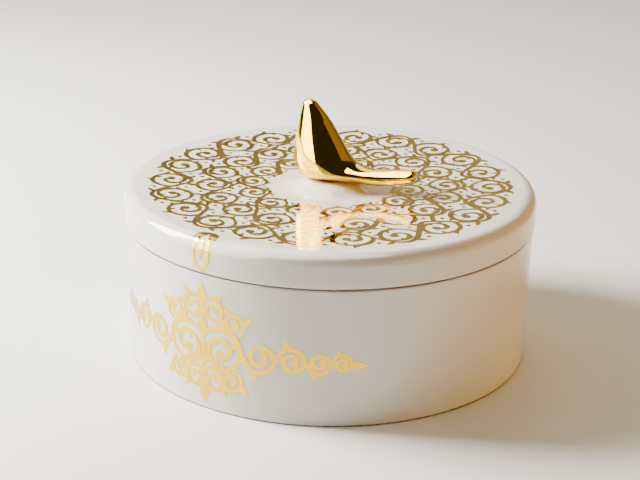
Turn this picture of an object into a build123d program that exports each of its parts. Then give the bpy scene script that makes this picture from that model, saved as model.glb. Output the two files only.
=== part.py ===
from build123d import *
import math
import os

# A round lidded ceramic jar, lifted by a cast gold finial that a screw holds from below.
# Millimetres, +Z up, origin at the middle of the base, on the surface that the jar stands on.
# The symmetry plane of the finial holds the Z axis and is turned by beak_turn about it.

# Jar
foot_radius = 97.6
rim_radius = 99.3
jar_height = 67.25
jar_wall = 5.5
jar_floor = 6.0
foot_recess = 2.0
foot_ring_width = 7.0
foot_round = 1.0
rim_outer_round = 1.6
rim_inner_round = 0.8
jar_inner_round = 8.0

# Lid
lid_radius = 100.0
lid_height = 16.0
lid_edge_round = 5.6
lid_lower_round = 1.2
dish_depth = 2.5
lid_top_wall = 5.5
lid_inner_round = 5.0
flange_depth = 7.0
flange_wall = 4.2
flange_clearance = 0.9
flange_round = 1.0

# Raised seat in the middle of the lid
mound_height = 4.2
pad_radius = 9.0
mound_radius = 23.0
spot_face_radius = 13.0

# Finial
beak_turn = -20.0
foot_gap = 0.1
tip_length = 2.3
beak_end_length = 3.4
end_step = 0.12
end_flat_radius = 0.6
end_land = 0.1
spigot_radius = 5.0
spigot_length = 3.0
spigot_clearance = 0.3
tap_spare = 2.0

# Fixing: an M4 screw with its washers
screw_radius = 2.0
screw_length = 20.0
screw_head_radius = 4.0
screw_head_height = 2.6
screw_head_round = 1.2
slot_width = 1.2
slot_depth = 1.2
thread_clearance = 0.05
hole_clearance = 1.0
washer_clearance = 0.15
gasket_thickness = 0.6
cushion_radius = 10.0
cushion_thickness = 1.5
washer_radius = 6.0
washer_thickness = 1.0

# The finial's main cross-sections, from its tip to the end of its beak: how far out and how high
# the outer edge is, the same for the inner edge, and half the thickness across the symmetry plane.
# Distances are from the lid's axis and from the top of the raised seat.
finial_sections = [
    (-14.3, 36.7, -7.7, 37.4, 3.4),
    (-16.3, 27.6, -0.7, 29.0, 6.6),
    (-18.1, 17.2, 5.0, 20.2, 8.9),
    (-17.9, 6.6, 9.2, 13.4, 10.5),
    (-12.3, 0.3, 12.5, 10.0, 10.6),
    (2.8, 0.0, 15.6, 8.1, 9.2),
    (13.2, -0.2, 19.9, 7.3, 7.0),
    (22.3, -0.7, 25.0, 7.6, 5.1),
    (31.5, 0.3, 31.8, 8.5, 4.3),
    (40.5, 2.5, 40.1, 9.4, 3.9),
]
sections_between = 3
half_section_points = 9

# Places that follow from the sizes
seam_height = jar_height
mouth_radius = rim_radius - jar_wall
flange_outer = mouth_radius - flange_clearance
cavity_radius = flange_outer - flange_wall
crown_height = seam_height + lid_height
edge_centre_radius = lid_radius - lid_edge_round
edge_centre_height = crown_height - lid_edge_round
dish_slope = 2.0 * math.atan(dish_depth / edge_centre_radius)
dish_curve_radius = edge_centre_radius / math.sin(dish_slope) - lid_edge_round
dish_bottom = crown_height - dish_depth
pad_height = dish_bottom + mound_height
underside_height = dish_bottom - lid_top_wall
finial_foot = pad_height + foot_gap
pocket_floor = finial_foot - spigot_length - gasket_thickness
clearance_hole_radius = screw_radius + hole_clearance
washer_hole_radius = screw_radius + washer_clearance
cushion_bottom = underside_height - cushion_thickness
washer_bottom = cushion_bottom - washer_thickness
screw_top = washer_bottom + screw_length
tap_bottom = pocket_floor + gasket_thickness
tap_depth = screw_top + tap_spare - tap_bottom


def dish_height(radius):
    """Height of the dished top at a distance from the axis."""
    drop = math.sqrt(dish_curve_radius**2 - radius**2)
    return dish_bottom + dish_curve_radius - drop


def turned(corners, rounds):
    """Solid turned about Z from its half section, with a round at each corner."""
    outline = Plane.XZ * FilletPolyline(*corners, radius=rounds, close=True)
    return revolve(make_face(outline), Axis.Z)


def disc(radius, hole_radius, bottom, thickness):
    """Flat ring about Z."""
    ring = Circle(radius) - Circle(hole_radius)
    return Pos(0, 0, bottom) * extrude(ring, thickness)


def hole(radius, bottom, height):
    """Round plug about Z, to be cut away."""
    return Pos(0, 0, bottom) * extrude(Circle(radius), height)


def jar_body():
    """Open jar on a foot ring, with a flat rim that the lid rests on."""
    ring_inner = foot_radius - foot_ring_width
    inner_floor = foot_recess + jar_floor
    inner_foot = foot_radius - jar_wall
    corners = [
        (0, foot_recess),
        (ring_inner, foot_recess),
        (ring_inner, 0),
        (foot_radius, 0),
        (rim_radius, jar_height),
        (mouth_radius, jar_height),
        (inner_foot, inner_floor),
        (0, inner_floor),
    ]
    rounds = [0, 0, 0, foot_round, rim_outer_round, rim_inner_round, jar_inner_round, 0]
    return turned(corners, rounds)


def lid_top():
    """Skin of the lid's top, from its axis to the outside: seat, flank, dish and rounded edge."""
    slope_at_mound = math.asin(mound_radius / dish_curve_radius)
    pad_edge = (pad_radius, pad_height)
    mound_edge = (mound_radius, dish_height(mound_radius))
    dish_middle = (mound_radius + edge_centre_radius) / 2.0
    dish_edge = (
        edge_centre_radius - lid_edge_round * math.sin(dish_slope),
        edge_centre_height + lid_edge_round * math.cos(dish_slope),
    )
    edge_middle_angle = (math.pi / 2.0 + dish_slope) / 2.0
    edge_middle = (
        edge_centre_radius + lid_edge_round * math.cos(edge_middle_angle),
        edge_centre_height + lid_edge_round * math.sin(edge_middle_angle),
    )
    outside = (lid_radius, edge_centre_height)
    flank_end = (math.cos(slope_at_mound), math.sin(slope_at_mound))
    return [
        Line((0, pad_height), pad_edge),
        Spline([pad_edge, mound_edge], tangents=[(1, 0), flank_end]),
        ThreePointArc(mound_edge, (dish_middle, dish_height(dish_middle)), dish_edge),
        ThreePointArc(dish_edge, edge_middle, outside),
    ]


def lid_underside():
    """The rest of the lid's half section, from the outside back to the axis."""
    flange_bottom = seam_height - flange_depth
    cavity_top = dish_height(cavity_radius) - lid_top_wall
    corners = [
        (lid_radius, edge_centre_height),
        (lid_radius, seam_height),
        (flange_outer, seam_height),
        (flange_outer, flange_bottom),
        (cavity_radius, flange_bottom),
        (cavity_radius, cavity_top),
        (spot_face_radius, underside_height),
        (0, underside_height),
    ]
    rounds = [lid_lower_round, 0, flange_round, flange_round, lid_inner_round, 0]
    return FilletPolyline(*corners, radius=rounds)


def lid():
    """Lid with a dished top, a raised seat and a flange that drops into the jar's mouth."""
    axis_line = Line((0, underside_height), (0, pad_height))
    outline = Curve() + lid_top() + lid_underside() + axis_line
    blank = revolve(make_face(Plane.XZ * outline), Axis.Z)
    screw_hole = hole(clearance_hole_radius, underside_height - lid_top_wall, lid_height)
    pocket = hole(spigot_radius + spigot_clearance, pocket_floor, lid_height)
    return blank - screw_hole - pocket


def beyond(end, neighbour):
    """Section past an end, as far on as its neighbour lies back."""
    return tuple(2.0 * a - b for a, b in zip(end, neighbour))


def between(four, along):
    """Section on the smooth curve through four others, between the second and the third."""
    values = []
    for before, start, end, after in zip(*four):
        slope = end - before
        bend = 2.0 * before - 5.0 * start + 4.0 * end - after
        twist = 3.0 * start - before - 3.0 * end + after
        values.append(start + 0.5 * along * (slope + along * (bend + along * twist)))
    return tuple(values)


def smooth_sections():
    """The main sections with even steps between them."""
    first = beyond(finial_sections[0], finial_sections[1])
    last = beyond(finial_sections[-1], finial_sections[-2])
    padded = [first] + finial_sections + [last]
    sections = []
    for start in range(len(finial_sections) - 1):
        for step in range(sections_between):
            sections.append(between(padded[start:start + 4], step / sections_between))
    return sections + [finial_sections[-1]]


def section_frame(outer_x, outer_z, inner_x, inner_z, half_width):
    """Centre and half length of a section, both in the symmetry plane, and its half thickness."""
    centre = Vector((outer_x + inner_x) / 2.0, 0, (outer_z + inner_z) / 2.0)
    half_length = Vector((inner_x - outer_x) / 2.0, 0, (inner_z - outer_z) / 2.0)
    return centre, half_length, half_width


def section_wire(centre, half_length, half_width):
    """Oval outline in two halves, which meet in the symmetry plane."""
    halves = []
    for side in (1.0, -1.0):
        points = []
        for step in range(half_section_points):
            angle = math.pi * step / (half_section_points - 1)
            across = Vector(0, side * half_width * math.sin(angle), 0)
            points.append(centre + half_length * (side * math.cos(angle)) + across)
        halves.append(Spline(points, tangents=[(0, side, 0), (0, -side, 0)]))
    return Wire(halves)


def rounded_end(frame, side, length):
    """Stub with a large round that closes the casting at an end section, on one side of it."""
    centre, half_length, half_width = frame
    radius = min(half_length.length, half_width) - end_step
    end_round = min(length - end_land, radius - end_flat_radius)
    stub = extrude(Circle(radius), length)
    stub = fillet(stub.edges().group_by(Axis.Z)[-1], end_round)
    return Plane(origin=centre, z_dir=half_length.cross(Vector(0, side, 0))) * stub


def finial():
    """Solid casting: a swelling tail that bends into a straight round beak, on a turned spigot."""
    frames = [section_frame(*section) for section in smooth_sections()]
    casting = Solid.make_loft([section_wire(*frame) for frame in frames])
    casting = casting + rounded_end(frames[0], 1, tip_length)
    casting = casting + rounded_end(frames[-1], -1, beak_end_length)
    casting = Pos(0, 0, finial_foot) * casting
    below_foot = hole(lid_radius, finial_foot - mound_height, mound_height)
    spigot = hole(spigot_radius, tap_bottom, spigot_length + mound_height)
    tapped_hole = hole(screw_radius + thread_clearance, tap_bottom, tap_depth)
    return Rot(0, 0, beak_turn) * (casting - below_foot + spigot - tapped_hole)


def finial_gasket():
    """Thin ring in the bottom of the pocket, under the spigot."""
    return disc(spigot_radius, washer_hole_radius, pocket_floor, gasket_thickness)


def cushion_washer():
    """Soft ring against the glaze under the lid."""
    return disc(cushion_radius, washer_hole_radius, cushion_bottom, cushion_thickness)


def metal_washer():
    """Plain ring between the soft one and the screw's head."""
    return disc(washer_radius, washer_hole_radius, washer_bottom, washer_thickness)


def finial_screw():
    """Pan-head screw with a slot, pointing up into the finial."""
    shank = hole(screw_radius, washer_bottom, screw_length)
    head = hole(screw_head_radius, washer_bottom - screw_head_height, screw_head_height)
    lower_rim = head.edges().group_by(Axis.Z)[0]
    head = fillet(lower_rim, screw_head_round)
    slot = Box(2.0 * screw_head_radius, slot_width, 2.0 * slot_depth)
    slot_place = Pos(0, 0, washer_bottom - screw_head_height)
    return shank + head - slot_place * slot


os.makedirs("parts", exist_ok=True)
pieces = (
    jar_body,
    lid,
    finial,
    finial_gasket,
    cushion_washer,
    metal_washer,
    finial_screw,
)
for piece in pieces:
    export_step(piece(), "parts/" + piece.__name__ + ".step")
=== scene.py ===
import bpy
import math
import numpy as np
from mathutils import Matrix, Vector
from mathutils.geometry import delaunay_2d_cdt


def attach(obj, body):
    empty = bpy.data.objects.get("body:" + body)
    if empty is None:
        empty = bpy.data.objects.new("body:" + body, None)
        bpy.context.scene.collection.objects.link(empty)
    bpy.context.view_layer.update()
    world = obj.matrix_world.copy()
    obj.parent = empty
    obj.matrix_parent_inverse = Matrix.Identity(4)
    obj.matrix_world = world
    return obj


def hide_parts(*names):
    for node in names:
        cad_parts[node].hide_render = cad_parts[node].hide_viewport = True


# Looks of a round lidded ceramic jar with a mirror gold finial and fired gold scrollwork.
# The frame is in metres. The ornament is drawn flat in millimetres and then wrapped on the glaze.

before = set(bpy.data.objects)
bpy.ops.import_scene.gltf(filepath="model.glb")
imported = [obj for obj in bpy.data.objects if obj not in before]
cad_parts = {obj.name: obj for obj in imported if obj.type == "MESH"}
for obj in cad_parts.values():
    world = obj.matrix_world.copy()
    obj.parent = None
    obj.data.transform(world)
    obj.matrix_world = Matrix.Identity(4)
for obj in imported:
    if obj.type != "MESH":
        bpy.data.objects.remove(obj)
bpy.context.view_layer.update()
MM = 0.001

# Sizes shared with the solids, in millimetres
LID_RADIUS = 100.0
LID_EDGE_ROUND = 5.6
DISH_DEPTH = 2.5
SEAM_HEIGHT = 67.25
CROWN_HEIGHT = 83.25
FOOT_RADIUS = 97.6
RIM_RADIUS = 99.3
FINIAL_FOOT = 85.05
BEAK_TURN = math.radians(-20.0)
FINIAL_SECTIONS = (
    (-14.3, 36.7, -7.7, 37.4, 3.4),
    (-16.3, 27.6, -0.7, 29.0, 6.6),
    (-18.1, 17.2, 5.0, 20.2, 8.9),
    (-17.9, 6.6, 9.2, 13.4, 10.5),
    (-12.3, 0.3, 12.5, 10.0, 10.6),
    (2.8, 0.0, 15.6, 8.1, 9.2),
    (13.2, -0.2, 19.9, 7.3, 7.0),
    (22.3, -0.7, 25.0, 7.6, 5.1),
    (31.5, 0.3, 31.8, 8.5, 4.3),
    (40.5, 2.5, 40.1, 9.4, 3.9),
)

# Thickness of the gold over the glaze, and how far its underside sinks into it
GOLD_PROUD = 0.14
GOLD_SUNK = 0.10

# Direction from the axis in which the wall's medallion and the lid's drop stand
ORNAMENT_BEARING = math.radians(-125.0)


# Objects

def add_mesh(name, points, faces, material):
    """Smooth mesh in the scene, with one material."""
    mesh = bpy.data.meshes.new(name)
    mesh.from_pydata(points, [], faces)
    mesh.polygons.foreach_set("use_smooth", [True] * len(mesh.polygons))
    mesh.materials.append(material)
    piece = bpy.data.objects.new(name, mesh)
    bpy.context.scene.collection.objects.link(piece)
    return piece


# Camera

def add_camera():
    """Camera at the photograph's angle, for a frame of 640 by 480."""
    elevation = math.radians(20.59)
    roll = math.radians(0.895)
    distance = 0.81428
    aim = Vector((-0.00452, 0.0, 0.05298))
    focal_pixels = 1654.65
    frame_pixels = 640.0
    forward = Vector((0.0, math.cos(elevation), -math.sin(elevation)))
    level = Vector((1.0, 0.0, 0.0))
    upright = level.cross(forward)
    right = level * math.cos(roll) + upright * math.sin(roll)
    up = upright * math.cos(roll) - level * math.sin(roll)
    place = Matrix((right, up, -forward)).transposed().to_4x4()
    place.translation = aim - forward * distance
    data = bpy.data.cameras.new("camera")
    data.sensor_width = 36.0
    data.lens = focal_pixels / frame_pixels * data.sensor_width
    camera = bpy.data.objects.new("camera", data)
    camera.matrix_world = place
    bpy.context.scene.collection.objects.link(camera)
    bpy.context.scene.camera = camera


# Materials

def new_material(name):
    """Empty node material with its shader."""
    material = bpy.data.materials.new(name)
    material.use_nodes = True
    nodes = material.node_tree.nodes
    return material, nodes, material.node_tree.links, nodes["Principled BSDF"]


def noise(nodes, links, scale, detail, coordinates):
    """Noise texture in object space, where a scale of 1 is one cell a metre."""
    texture = nodes.new("ShaderNodeTexNoise")
    texture.inputs["Scale"].default_value = scale
    texture.inputs["Detail"].default_value = detail
    links.new(coordinates.outputs["Object"], texture.inputs["Vector"])
    return texture.outputs["Fac"]


def ramp(nodes, links, source, low, high, start=0.3, end=0.7):
    """Colour that runs from low to high with a value."""
    node = nodes.new("ShaderNodeValToRGB")
    node.color_ramp.elements[0].position = start
    node.color_ramp.elements[0].color = (*low, 1.0)
    node.color_ramp.elements[1].position = end
    node.color_ramp.elements[1].color = (*high, 1.0)
    links.new(source, node.inputs["Fac"])
    return node.outputs["Color"]


def spread(nodes, links, source, low, high):
    """Value that runs from low to high as the source runs from 0 to 1."""
    node = nodes.new("ShaderNodeMapRange")
    node.inputs["To Min"].default_value = low
    node.inputs["To Max"].default_value = high
    links.new(source, node.inputs["Value"])
    return node.outputs["Result"]


def bump(nodes, links, source, strength, distance, shader):
    """Fine relief on a shader."""
    node = nodes.new("ShaderNodeBump")
    node.inputs["Strength"].default_value = strength
    node.inputs["Distance"].default_value = distance
    links.new(source, node.inputs["Height"])
    links.new(node.outputs["Normal"], shader.inputs["Normal"])


def glaze(name, low, high, roughness):
    """Glossy fired glaze: faint clouding and the slow waviness that glaze has."""
    material, nodes, links, shader = new_material(name)
    place = nodes.new("ShaderNodeTexCoord")
    cloud = noise(nodes, links, scale=14.0, detail=3.0, coordinates=place)
    links.new(ramp(nodes, links, cloud, low, high), shader.inputs["Base Color"])
    speck = noise(nodes, links, scale=900.0, detail=2.0, coordinates=place)
    sheen = spread(nodes, links, speck, roughness * 0.8, roughness * 1.25)
    links.new(sheen, shader.inputs["Roughness"])
    wave = noise(nodes, links, scale=55.0, detail=1.0, coordinates=place)
    bump(nodes, links, wave, strength=0.10, distance=0.0012, shader=shader)
    shader.inputs["IOR"].default_value = 1.52
    shader.inputs["Specular IOR Level"].default_value = 0.5
    return material


def gold(name, low, high, roughness, relief_scale, relief):
    """Gold: slight change of tone and polish over the surface, and fine relief."""
    material, nodes, links, shader = new_material(name)
    place = nodes.new("ShaderNodeTexCoord")
    tone = noise(nodes, links, scale=60.0, detail=3.0, coordinates=place)
    links.new(ramp(nodes, links, tone, low, high), shader.inputs["Base Color"])
    polish = noise(nodes, links, scale=260.0, detail=3.0, coordinates=place)
    sheen = spread(nodes, links, polish, roughness * 0.7, roughness * 1.3)
    links.new(sheen, shader.inputs["Roughness"])
    grain = noise(nodes, links, scale=relief_scale, detail=2.0, coordinates=place)
    bump(nodes, links, grain, strength=relief, distance=0.0005, shader=shader)
    shader.inputs["Metallic"].default_value = 1.0
    return material


def rubber(name, low, high):
    """Matt moulded rubber with a fine skin."""
    material, nodes, links, shader = new_material(name)
    place = nodes.new("ShaderNodeTexCoord")
    skin = noise(nodes, links, scale=1500.0, detail=4.0, coordinates=place)
    links.new(ramp(nodes, links, skin, low, high), shader.inputs["Base Color"])
    bump(nodes, links, skin, strength=0.2, distance=0.0002, shader=shader)
    shader.inputs["Roughness"].default_value = 0.6
    return material


def plated_steel(name):
    """Zinc-plated steel with turning marks round the axis."""
    material, nodes, links, shader = new_material(name)
    place = nodes.new("ShaderNodeTexCoord")
    tone = noise(nodes, links, scale=400.0, detail=3.0, coordinates=place)
    tint = ramp(nodes, links, tone, (0.55, 0.56, 0.58), (0.72, 0.72, 0.70))
    links.new(tint, shader.inputs["Base Color"])
    rings = nodes.new("ShaderNodeTexWave")
    rings.wave_type = "RINGS"
    rings.rings_direction = "Z"
    rings.inputs["Scale"].default_value = 900.0
    links.new(place.outputs["Object"], rings.inputs["Vector"])
    bump(nodes, links, rings.outputs["Fac"], strength=0.15, distance=0.0002, shader=shader)
    shader.inputs["Metallic"].default_value = 1.0
    shader.inputs["Roughness"].default_value = 0.32
    return material


def dress(node, material):
    """Gives a CAD node its material."""
    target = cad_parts[node]
    target.data.materials.clear()
    target.data.materials.append(material)


# Scrollwork, drawn flat in millimetres

PEN_ANGLE = math.radians(35.0)


class Drawing:
    """Flat ornament, kept as small four-sided pieces that may overlap."""

    def __init__(self):
        self.corners = []
        self.pieces = []

    def piece(self, points):
        """One convex piece, kept counter-clockwise and left out where it has no area."""
        points = np.asarray(points, float)
        ahead = np.roll(points, -1, axis=0)
        area = 0.5 * np.sum(points[:, 0] * ahead[:, 1] - ahead[:, 0] * points[:, 1])
        if abs(area) < 1e-4:
            return
        if area < 0.0:
            points = points[::-1]
        first = len(self.corners)
        self.corners.extend((float(x), float(y)) for x, y in points)
        self.pieces.append(list(range(first, first + len(points))))

    def ribbon(self, line, widths):
        """Stroke along a line, as wide at each point as widths says."""
        line = np.asarray(line, float)
        along = np.gradient(line, axis=0)
        along /= np.linalg.norm(along, axis=1)[:, None] + 1e-9
        across = np.column_stack((-along[:, 1], along[:, 0]))
        half = 0.5 * np.asarray(widths, float)[:, None]
        left = line + across * half
        right = line - across * half
        for i in range(len(line) - 1):
            self.piece((right[i], right[i + 1], left[i + 1], left[i]))

    def dot(self, x, y, radius, sides=14):
        """Round dot."""
        turn = np.linspace(0.0, 2.0 * math.pi, sides, endpoint=False)
        self.piece(np.column_stack((x + radius * np.cos(turn), y + radius * np.sin(turn))))

    def leaf(self, x, y, heading, length, width, curl):
        """Leaf that starts narrow, swells and runs out to a point, bent by curl over its length."""
        steps = 10
        t = np.linspace(0.0, 1.0, steps + 1)
        angle = heading + curl * t
        step = length / steps
        px = x + np.concatenate(([0.0], np.cumsum(np.cos(angle[:-1]) * step)))
        py = y + np.concatenate(([0.0], np.cumsum(np.sin(angle[:-1]) * step)))
        swell = np.sin(math.pi * t**0.72) ** 0.9
        widths = width * np.maximum(swell, 0.0) + 0.30 * (1.0 - t) * width + 0.02
        self.ribbon(np.column_stack((px, py)), widths)


def pen_widths(line, base, thin):
    """Stroke widths of a broad pen held at a fixed angle, with the ends run out."""
    along = np.gradient(np.asarray(line, float), axis=0)
    heading = np.arctan2(along[:, 1], along[:, 0])
    return base * (thin + (1.0 - thin) * np.abs(np.sin(heading - PEN_ANGLE)))


def run_out(count, start, end):
    """Factor that is 1 along a stroke and falls to start and end at its ends."""
    lead_share = 0.12
    tail_share = 0.18
    t = np.linspace(0.0, 1.0, count)
    lead = np.clip(t / lead_share, 0.0, 1.0)
    tail = np.clip((1.0 - t) / tail_share, 0.0, 1.0)
    return (start + (1.0 - start) * lead) * (end + (1.0 - end) * tail)


def scroll_line(cx, cy, radius, start, turns, hand, inner):
    """Spiral from a radius at an angle, inwards to a share of that radius."""
    points_a_turn = 26
    count = max(12, int(points_a_turn * turns))
    t = np.linspace(0.0, 1.0, count)
    angle = start + hand * 2.0 * math.pi * turns * t
    reach = radius * (1.0 - (1.0 - inner) * t**1.15)
    return np.column_stack((cx + reach * np.cos(angle), cy + reach * np.sin(angle)))


def scroll(drawing, cx, cy, radius, start, hand, weight, rng, turns=1.45, inner=0.16):
    """Spiral branch with leaves outside and inside it, which ends in a bud."""
    line = scroll_line(cx, cy, radius, start, turns, hand, inner)
    count = len(line)
    drawing.ribbon(line, pen_widths(line, weight, 0.62) * run_out(count, 0.8, 0.7))
    drawing.dot(*line[-1], weight * 0.85)
    for share in (0.14, 0.30, 0.44, 0.60):
        i = int(share * (count - 1))
        ahead = math.atan2(*(line[i + 1] - line[i])[::-1])
        size = radius * (0.52 - 0.26 * share) * rng.uniform(0.9, 1.12)
        drawing.leaf(*line[i], ahead - hand * 0.55, size, size * 0.36, -hand * 0.9)
    for share in (0.22, 0.52):
        i = int(share * (count - 1))
        ahead = math.atan2(*(line[i + 1] - line[i])[::-1])
        size = radius * (0.46 - 0.22 * share) * rng.uniform(0.9, 1.1)
        drawing.leaf(*line[i], ahead + hand * 0.6, size, size * 0.38, hand * 1.1)


def bend(points, ring_radius):
    """Strip coordinates, along and across, bent round the lid's axis."""
    points = np.asarray(points, float)
    turn = points[:, 0] / ring_radius
    reach = ring_radius + points[:, 1]
    return np.column_stack((reach * np.cos(turn), reach * np.sin(turn)))


def vine_ring(drawing, ring_radius, cells, weight, rng, shift):
    """Ring of scrolls that a winding stem joins, over one scroll and under the next."""
    strip = Drawing()
    cell = 2.0 * math.pi * ring_radius / cells
    half = cell / 2.0
    points_a_cell = 18
    stem_x = np.linspace(0.0, cell * cells, points_a_cell * cells + 1)
    swing = 0.90 * half
    stem_y = swing * np.sin(math.pi * stem_x / cell)
    stem = np.column_stack((stem_x, stem_y))
    strip.ribbon(stem, pen_widths(stem, weight * 1.05, 0.66))
    for k in range(cells):
        hand = -1.0 if k % 2 == 0 else 1.0
        centre = (k + 0.5) * cell
        scroll(strip, centre, -hand * 0.02 * half, half * 0.94, 0.0, hand, weight, rng)
        tip = -hand * swing
        for side in (-1.0, 1.0):
            base_x = centre + side * half * 0.45
            base_y = -hand * swing * 0.80
            outward = -hand * math.pi / 2.0
            length = half * rng.uniform(0.42, 0.52)
            heading = outward + side * hand * 0.75
            strip.leaf(base_x, base_y, heading, length, width=length * 0.40, curl=side * hand * 0.5)
        dot_radius = weight * 0.42
        strip.dot(centre + half, -tip * 0.78, dot_radius)
        strip.dot(centre + half, tip * 0.78, dot_radius)
    bent = bend(strip.corners, ring_radius)
    turned = shift / ring_radius
    spin = np.array(((math.cos(turned), math.sin(turned)), (-math.sin(turned), math.cos(turned))))
    bent = bent @ spin
    for piece in strip.pieces:
        drawing.piece(bent[piece])


def pendant(drawing, turn):
    """Open drop that hangs from the outer ring over the lid's edge, with a leaf on each side."""
    across = np.array((-math.sin(turn), math.cos(turn)))
    outward = np.array((math.cos(turn), math.sin(turn)))
    middle = 101.0
    half_height = 10.5
    half_width = 5.6
    stroke = 1.9
    count = 60
    t = np.linspace(0.0, 2.0 * math.pi, count)
    wide = half_width * np.sin(t) * np.sin(t / 2.0)
    reach = middle - half_height * np.cos(t)
    outline = outward * reach[:, None] + across * wide[:, None]
    drawing.ribbon(outline, np.full(count, stroke))
    leaf_reach = 98.0
    drawing.leaf(*(outward * leaf_reach), heading=turn, length=9.0, width=2.6, curl=0.0)
    side_leaf_reach = 91.0
    for side in (-1.0, 1.0):
        x, y = outward * side_leaf_reach + across * side * 0.8
        drawing.leaf(x, y, heading=turn + side * 0.95, length=8.5, width=2.8, curl=-side * 0.7)


def lid_drawing():
    """Three rings of vine scrolls, each as wide as its own scrolls, round a plain middle."""
    rng = np.random.default_rng(7)
    drawing = Drawing()
    outer_edge = 88.5
    for cells, weight in ((22, 2.6), (18, 2.5), (14, 2.3)):
        ring_radius = outer_edge / (1.0 + math.pi / cells)
        vine_ring(drawing, ring_radius, cells, weight, rng, ring_radius * 0.07 * cells)
        outer_edge = ring_radius * (1.0 - math.pi / cells)
    pendant(drawing, ORNAMENT_BEARING)
    return drawing


def curl(x, y, heading, hand, radius, turns, inner):
    """Spiral that leaves a point at a heading in degrees and winds in on one side of it."""
    ahead = math.radians(heading)
    centre_x = x - hand * radius * math.sin(ahead)
    centre_y = y + hand * radius * math.cos(ahead)
    return scroll_line(centre_x, centre_y, radius, ahead - hand * math.pi / 2.0, turns, hand, inner)


def place_on(line, share, turn):
    """Point on a line at a share of its points, and the heading there turned by some degrees."""
    i = min(int(share * (len(line) - 1)), len(line) - 2)
    dx, dy = line[i + 1] - line[i]
    return (*line[i], math.degrees(math.atan2(dy, dx)) + turn)


def branch(drawing, line, weight, bud):
    """Pen stroke along a line, with a bud at its end."""
    drawing.ribbon(line, pen_widths(line, weight, 0.70) * run_out(len(line), 0.85, 0.8))
    drawing.dot(*line[-1], bud)


def leaves(drawing, line, shares, side, length):
    """Leaves that stand off one side of a line and shrink along it."""
    for share in shares:
        x, y, heading = place_on(line, share, side * 42.0)
        size = length * (1.1 - 0.6 * share)
        drawing.leaf(x, y, math.radians(heading), size, size * 0.42, side * 0.9)


def jar_drawing():
    """Medallion of paired scrolls for the jar's wall, with a winding arm on each side."""
    half = Drawing()
    main = curl(0.0, 36.5, heading=62.0, hand=-1.0, radius=11.5, turns=1.75, inner=0.22)
    branch(half, main, weight=3.0, bud=2.4)
    leaves(half, main, (0.10, 0.36, 0.46), 1.0, 8.0)
    leaves(half, main, (0.20, 0.42, 0.60), -1.0, 5.5)
    for x, y, heading, hand, radius in (
        (0.0, 53.0, 60.0, -1.0, 6.4),
        (0.0, 18.5, 60.0, -1.0, 6.2),
        (18.6, 40.5, 20.0, 1.0, 5.6),
        (17.8, 22.0, -30.0, -1.0, 5.6),
    ):
        line = curl(x, y, heading, hand, radius, turns=1.35, inner=0.26)
        branch(half, line, weight=2.3, bud=1.5)
        leaves(half, line, (0.16, 0.38), -hand, length=6.0)
    arm_height = 31.5
    x = 21.5
    hand = 1.0
    for radius, weight in ((8.0, 2.7), (6.8, 2.5), (5.7, 2.3), (4.6, 2.1)):
        line = curl(x, arm_height, -90.0 * hand, hand, radius, turns=1.6, inner=0.26)
        branch(half, line, weight, weight * 0.7)
        leaves(half, line, (0.12, 0.30), -hand, radius * 0.8)
        leaves(half, line, (0.40,), hand, radius * 0.55)
        x += 2.0 * radius
        hand = -hand
    half.leaf(x - 0.6, arm_height, math.radians(-20.0), length=8.0, width=3.0, curl=0.6)
    drawing = Drawing()
    corners = np.asarray(half.corners)
    for piece in half.pieces:
        drawing.piece(corners[piece])
        drawing.piece(corners[piece] * (-1.0, 1.0))
    count = 30
    spine = np.column_stack((np.zeros(count), np.linspace(9.0, 55.0, count)))
    drawing.ribbon(spine, 2.6 * run_out(count, 0.6, 0.6))
    for y, heading, length in ((52.0, 90.0, 11.0), (12.0, -90.0, 9.0), (36.0, 90.0, 13.0)):
        drawing.leaf(0.0, y, math.radians(heading), length, width=4.6, curl=0.0)
    return drawing


# Wrapping the drawing on the glaze

def lid_profile(reach):
    """Radius and height of the lid's skin, and its outward normal, at a length along the skin."""
    centre_radius = LID_RADIUS - LID_EDGE_ROUND
    slope = 2.0 * math.atan(DISH_DEPTH / centre_radius)
    curve = centre_radius / math.sin(slope) - LID_EDGE_ROUND
    bottom = CROWN_HEIGHT - DISH_DEPTH
    dish_length = curve * slope
    edge_length = LID_EDGE_ROUND * (math.pi / 2.0 + slope)
    if reach <= dish_length:
        angle = reach / curve
        return (
            curve * math.sin(angle),
            bottom + curve * (1.0 - math.cos(angle)),
            -math.sin(angle),
            math.cos(angle),
        )
    if reach <= dish_length + edge_length:
        angle = math.pi / 2.0 + slope - (reach - dish_length) / LID_EDGE_ROUND
        return (
            centre_radius + LID_EDGE_ROUND * math.cos(angle),
            CROWN_HEIGHT - LID_EDGE_ROUND + LID_EDGE_ROUND * math.sin(angle),
            math.cos(angle),
            math.sin(angle),
        )
    down = reach - dish_length - edge_length
    return LID_RADIUS, CROWN_HEIGHT - LID_EDGE_ROUND - down, 1.0, 0.0


def on_lid(x, y):
    """Point on the lid for a point of its drawing, and the normal there."""
    reach = math.hypot(x, y)
    turn = math.atan2(y, x)
    radius, height, out, up = lid_profile(reach)
    place = Vector((radius * math.cos(turn), radius * math.sin(turn), height))
    return place, Vector((out * math.cos(turn), out * math.sin(turn), up))


def on_jar(middle):
    """Wrapping for the jar's wall, with the drawing's middle at an angle about the axis."""
    lean = (RIM_RADIUS - FOOT_RADIUS) / SEAM_HEIGHT

    def wrap(x, y):
        radius = FOOT_RADIUS + lean * y
        turn = middle + x / RIM_RADIUS
        outward = Vector((math.cos(turn), math.sin(turn), 0.0))
        place = outward * radius + Vector((0.0, 0.0, y))
        return place, (outward - Vector((0.0, 0.0, lean))).normalized()

    return wrap


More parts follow.
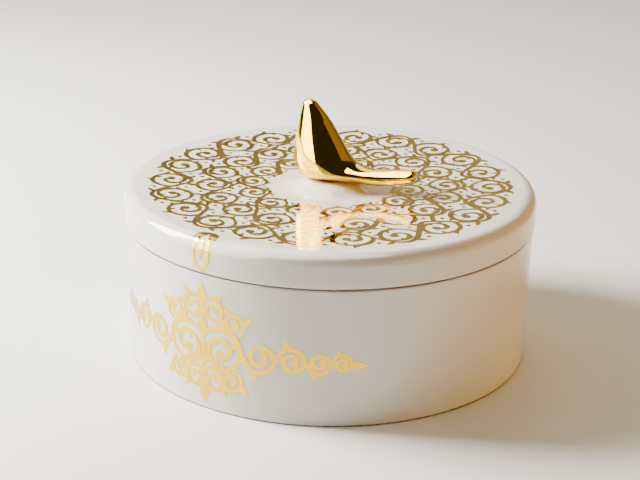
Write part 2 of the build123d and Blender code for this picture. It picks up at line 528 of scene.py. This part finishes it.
def gild(name, drawing, wrap, body, material):
    """Closed layer of gold: the drawing's overlapping pieces joined, wrapped and given thickness."""
    snap = 1e-5
    corners, _, faces, _, _, sources = delaunay_2d_cdt(
        [Vector(c) for c in drawing.corners], [], drawing.pieces, 0, snap, True)
    faces = [face for face, source in zip(faces, sources) if source]
    used = sorted({corner for face in faces for corner in face})
    number = {corner: i for i, corner in enumerate(used)}
    faces = [[number[corner] for corner in face] for face in faces]
    top = []
    under = []
    for corner in used:
        place, normal = wrap(*corners[corner])
        top.append((place + normal * GOLD_PROUD) * MM)
        under.append((place - normal * GOLD_SUNK) * MM)
    count = len(top)
    sides = {}
    for face in faces:
        for a, b in zip(face, face[1:] + face[:1]):
            if sides.pop((b, a), None) is None:
                sides[(a, b)] = True
    walls = [(b, a, a + count, b + count) for a, b in sides]
    backs = [[corner + count for corner in reversed(face)] for face in faces]
    piece = add_mesh(name, top + under, faces + backs + walls, material)
    rims = {tuple(sorted(side)) for side in sides}
    for edge in piece.data.edges:
        a, b = sorted(edge.vertices)
        edge.use_edge_sharp = (a % count, b % count) in rims or (b % count, a % count) in rims
    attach(piece, body)


# Finial

def between(four, along):
    """Section on the smooth curve through four others, between the second and the third."""
    before, start, end, after = (np.asarray(section, float) for section in four)
    slope = end - before
    bow = 2.0 * before - 5.0 * start + 4.0 * end - after
    twist = 3.0 * start - before - 3.0 * end + after
    return start + 0.5 * along * (slope + along * (bow + along * twist))


def finial_rings():
    """Sections of the finial from tip to beak, with rounded ends: centre, half length, half width."""
    sections = np.asarray(FINIAL_SECTIONS, float)
    first = 2.0 * sections[0] - sections[1]
    last = 2.0 * sections[-1] - sections[-2]
    padded = np.vstack((first, sections, last))
    steps = 14
    rows = []
    for i in range(len(sections) - 1):
        for step in range(steps):
            rows.append(between(padded[i:i + 4], step / steps))
    rows.append(sections[-1])
    rings = []
    for outer_x, outer_z, inner_x, inner_z, half_width in rows:
        centre = np.array(((outer_x + inner_x) / 2.0, (outer_z + inner_z) / 2.0))
        half_length = np.array(((inner_x - outer_x) / 2.0, (inner_z - outer_z) / 2.0))
        rings.append((centre, half_length, half_width))
    return domed(rings[0], rings[1])[::-1] + rings + domed(rings[-1], rings[-2])


def domed(end, neighbour):
    """Rings that close an end in a dome, nearest first, with no kink where it starts."""
    centre, half_length, half_width = end
    outward = centre - neighbour[0]
    step = np.linalg.norm(outward)
    outward /= step
    radius = np.linalg.norm(half_length)
    taper = math.atan2(np.linalg.norm(neighbour[1]) - radius, step)
    ball = radius / math.cos(taper)
    rings = []
    steps = 18
    for angle in np.linspace(taper, math.pi / 2.0, steps)[1:-1]:
        reach = outward * ball * (math.sin(angle) - math.sin(taper))
        shrink = math.cos(angle) / math.cos(taper)
        rings.append((centre + reach, half_length * shrink, half_width * shrink))
    return rings


def add_finial(material):
    """Finial as one smooth closed skin, standing on its flat foot."""
    around = 80
    turn = np.linspace(0.0, 2.0 * math.pi, around, endpoint=False)
    points = []
    for centre, half_length, half_width in finial_rings():
        for angle in turn:
            x, z = centre + half_length * math.cos(angle)
            y = half_width * math.sin(angle)
            z = max(z, 0.0)
            points.append((
                (x * math.cos(BEAK_TURN) - y * math.sin(BEAK_TURN)) * MM,
                (x * math.sin(BEAK_TURN) + y * math.cos(BEAK_TURN)) * MM,
                (z + FINIAL_FOOT) * MM,
            ))
    rings = len(points) // around
    faces = []
    for i in range(rings - 1):
        for k in range(around):
            a = i * around + k
            b = i * around + (k + 1) % around
            faces.append((a, a + around, b + around, b))
    faces.append(tuple(range(around)))
    faces.append(tuple(range((rings - 1) * around, rings * around))[::-1])
    piece = add_mesh("finial_casting", points, faces, material)
    piece.data.validate()
    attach(piece, "lid")
    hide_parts("finial")


# Painted shade: dark rings in the contact lines

def add_painted_shade_ring(name, radius, height, thickness, body, material):
    """Round dark ring of painted shade, laid in the line where one face stands on another."""
    around = 240
    section = 12
    points = []
    for i in range(around):
        turn = 2.0 * math.pi * i / around
        for k in range(section):
            angle = 2.0 * math.pi * k / section
            reach = radius + thickness * math.cos(angle)
            points.append((
                reach * math.cos(turn) * MM,
                reach * math.sin(turn) * MM,
                (height + thickness * math.sin(angle)) * MM,
            ))
    faces = []
    for i in range(around):
        for k in range(section):
            a = i * section + k
            b = i * section + (k + 1) % section
            ahead = ((i + 1) % around - i) * section
            faces.append((a, a + ahead, b + ahead, b))
    ring = add_mesh(name, points, faces, material)
    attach(ring, body)


def painted_contact_shade():
    """Painted shade for the contact lines: dark, matt and fine grained, much darker than the glaze."""
    material, nodes, links, shader = new_material("painted_contact_shade")
    place = nodes.new("ShaderNodeTexCoord")
    grain = noise(nodes, links, scale=2200.0, detail=4.0, coordinates=place)
    tint = ramp(nodes, links, grain, (0.10, 0.060, 0.042), (0.17, 0.105, 0.075))
    links.new(tint, shader.inputs["Base Color"])
    bump(nodes, links, grain, strength=0.3, distance=0.0001, shader=shader)
    shader.inputs["Roughness"].default_value = 0.85
    return material


# Stage and light

def add_backdrop():
    """Pale sweep: a floor that curves up into a wall behind."""
    material, nodes, links, shader = new_material("paper")
    place = nodes.new("ShaderNodeTexCoord")
    fibre = noise(nodes, links, scale=300.0, detail=4.0, coordinates=place)
    tint = ramp(nodes, links, fibre, (0.63, 0.63, 0.615), (0.66, 0.66, 0.645))
    links.new(tint, shader.inputs["Base Color"])
    shader.inputs["Roughness"].default_value = 0.7
    bend_radius = 0.7
    wall_start = 1.1
    front = -2.0
    wall_top = 3.0
    profile = [(front, 0.0), (wall_start, 0.0)]
    for angle in np.linspace(0.0, math.pi / 2.0, 24)[1:]:
        y = wall_start + bend_radius * math.sin(angle)
        profile.append((y, bend_radius * (1.0 - math.cos(angle))))
    profile.append((wall_start + bend_radius, wall_top))
    half_width = 3.0
    points = [(side * half_width, y, z) for y, z in profile for side in (-1.0, 1.0)]
    faces = [(2 * i, 2 * i + 1, 2 * i + 3, 2 * i + 2) for i in range(len(profile) - 1)]
    backdrop = add_mesh("backdrop", points, faces, material)


def add_panel(name, azimuth, elevation, distance, width, height, radiance, colour, diffuse=True, glossy=True):
    """Rectangular light that faces the jar, placed by its direction in degrees and distance in metres."""
    turn = math.radians(azimuth)
    rise = math.radians(elevation)
    aim = Vector((0.0, 0.0, 0.08))
    toward = Vector((math.cos(rise) * math.cos(turn), math.cos(rise) * math.sin(turn), math.sin(rise)))
    data = bpy.data.lights.new(name, "AREA")
    data.shape = "RECTANGLE"
    data.size = width
    data.size_y = height
    data.energy = radiance * math.pi * width * height
    data.color = colour
    light = bpy.data.objects.new(name, data)
    light.location = aim + toward * distance
    light.rotation_euler = (-toward).to_track_quat("-Z", "Y").to_euler()
    light.visible_diffuse = diffuse
    light.visible_glossy = glossy
    bpy.context.scene.collection.objects.link(light)


def add_lights():
    """Soft key on the left, a backdrop light, a warm window on the right and cards the gold mirrors."""
    white = (1.0, 0.975, 0.93)
    add_panel("key", azimuth=169.0, elevation=30.0, distance=0.85, width=0.34, height=0.5,
              radiance=97.0, colour=white)
    add_panel("back", azimuth=90.0, elevation=42.0, distance=1.25, width=1.6, height=0.6,
              radiance=2.4, colour=white)
    add_panel("window", azimuth=-8.0, elevation=20.0, distance=1.15, width=0.5, height=0.8,
              radiance=8.4, colour=(1.0, 0.55, 0.07), glossy=False)
    add_panel("left_card", azimuth=-156.0, elevation=22.0, distance=1.0, width=1.05, height=0.98,
              radiance=12.0, colour=white, diffuse=False)
    add_panel("top_card", azimuth=-150.0, elevation=72.0, distance=1.0, width=1.25, height=1.2,
              radiance=12.0, colour=white, diffuse=False)
    add_panel("right_card", azimuth=-2.0, elevation=20.0, distance=1.4, width=1.5, height=1.2,
              radiance=0.34, colour=(1.0, 0.62, 0.30), diffuse=False)
    world = bpy.data.worlds.new("room")
    world.use_nodes = True
    background = world.node_tree.nodes["Background"]
    background.inputs["Color"].default_value = (1.0, 0.90, 0.75, 1.0)
    background.inputs["Strength"].default_value = 0.03
    bpy.context.scene.world = world


add_camera()
add_backdrop()
add_lights()
glaze_low = (0.63, 0.59, 0.53)
glaze_high = (0.67, 0.63, 0.57)
dress("jar_body", glaze("jar_glaze", glaze_low, glaze_high, roughness=0.09))
dress("lid", glaze("lid_glaze", glaze_low, glaze_high, roughness=0.07))
dress("finial_gasket", rubber("gasket", (0.62, 0.61, 0.58), (0.70, 0.69, 0.66)))
dress("cushion_washer", rubber("cushion", (0.02, 0.02, 0.02), (0.045, 0.045, 0.045)))
dress("metal_washer", plated_steel("washer_plating"))
dress("finial_screw", plated_steel("screw_plating"))
polished = gold("polished", (0.90, 0.57, 0.015), (0.94, 0.61, 0.025),
                roughness=0.035, relief_scale=30.0, relief=0.03)
fired = gold("fired", (0.66, 0.43, 0.02), (0.72, 0.47, 0.035),
             roughness=0.08, relief_scale=900.0, relief=0.05)
dress("finial", polished)
add_finial(polished)
gild("lid_gilding", lid_drawing(), on_lid, "lid", fired)
gild("jar_gilding", jar_drawing(), on_jar(ORNAMENT_BEARING), "jar", fired)
# Dark matt colour that paints the shade in the seam groove and along the foot
contact_shade = painted_contact_shade()
# Painted shade: a dark ring in the groove under the lid's lower edge
add_painted_shade_ring("rim_painted_shade", radius=98.65, height=66.74, thickness=0.5,
              body="jar", material=contact_shade)
# Painted shade: a dark ring along the line where the foot stands on the floor
add_painted_shade_ring("foot_painted_shade", radius=97.1, height=0.46, thickness=0.45,
              body="jar", material=contact_shade)
